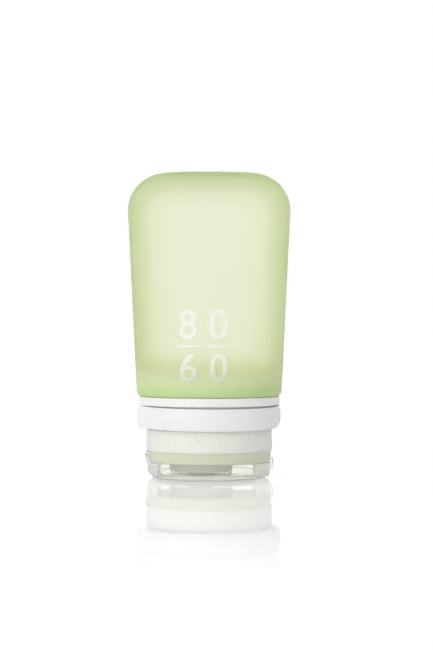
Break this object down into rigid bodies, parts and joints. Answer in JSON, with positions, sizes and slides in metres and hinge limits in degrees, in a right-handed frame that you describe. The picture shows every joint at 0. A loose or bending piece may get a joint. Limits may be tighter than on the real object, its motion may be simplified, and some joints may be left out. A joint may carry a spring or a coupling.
{
  "type": "travel silicone bottle",
  "caption": "Soft frosted squeeze bottle that stands on its clear flip lid, with a ribbed screw cap, a white collar and a swinging half-ring loop.",
  "frame": {"origin": "on the bottle's axis, at the flat outer face of the closed flip lid that it stands on", "axes": "+Z along the bottle from the lid to the closed end, +X towards the lid's thumb tab with the lid's hinge at -X, -Y towards the front with the moulded figures"},
  "size_m": [0.05, 0.0446, 0.0934],
  "materials": {
    "soft_silicone": "frosted translucent pale green moulded silicone",
    "white_plastic": "fine satin moulded white polypropylene",
    "natural_plastic": "unpigmented moulded polypropylene, milky and translucent",
    "seal_silicone": "clear milky silicone seal",
    "clear_plastic": "clear glossy moulded copolymer"
  },
  "bodies": {
    "bottle": {"bottle_body": "soft_silicone", "collar_ring": "white_plastic", "neck_sleeve": "natural_plastic"},
    "loop": {"lock_loop": "white_plastic"},
    "gasket": {"cap_gasket": "seal_silicone"},
    "cap": {"screw_cap": "natural_plastic", "drip_valve": "seal_silicone", "valve_retainer": "natural_plastic"},
    "lid": {"flip_lid": "clear_plastic"}
  },
  "joints": [
    {"name": "loop_swing", "type": "hinge", "parent": "bottle", "child": "loop", "pos_m": [0, 0, 0.01885], "axis": [0.9659, 0.2588, 0], "range_deg": [-1.2, 8.8]},
    {"name": "cap_lift", "type": "slide", "parent": "bottle", "child": "gasket", "axis": [0, 0, -1], "range_m": [0, 0.009]},
    {"name": "cap_turn", "type": "hinge", "parent": "gasket", "child": "cap", "pos_m": [0, 0, 0.01], "axis": [0, 0, -1], "range_deg": [0, 540]},
    {"name": "lid_flip", "type": "hinge", "parent": "cap", "child": "lid", "pos_m": [-0.01855, 0, 0.0072], "axis": [0, 1, 0], "range_deg": [0, 120]}
  ],
  "couplings": [
    {"joint": "cap_turn", "follows": "cap_lift", "rad_per_m": 1047.2}
  ]
}
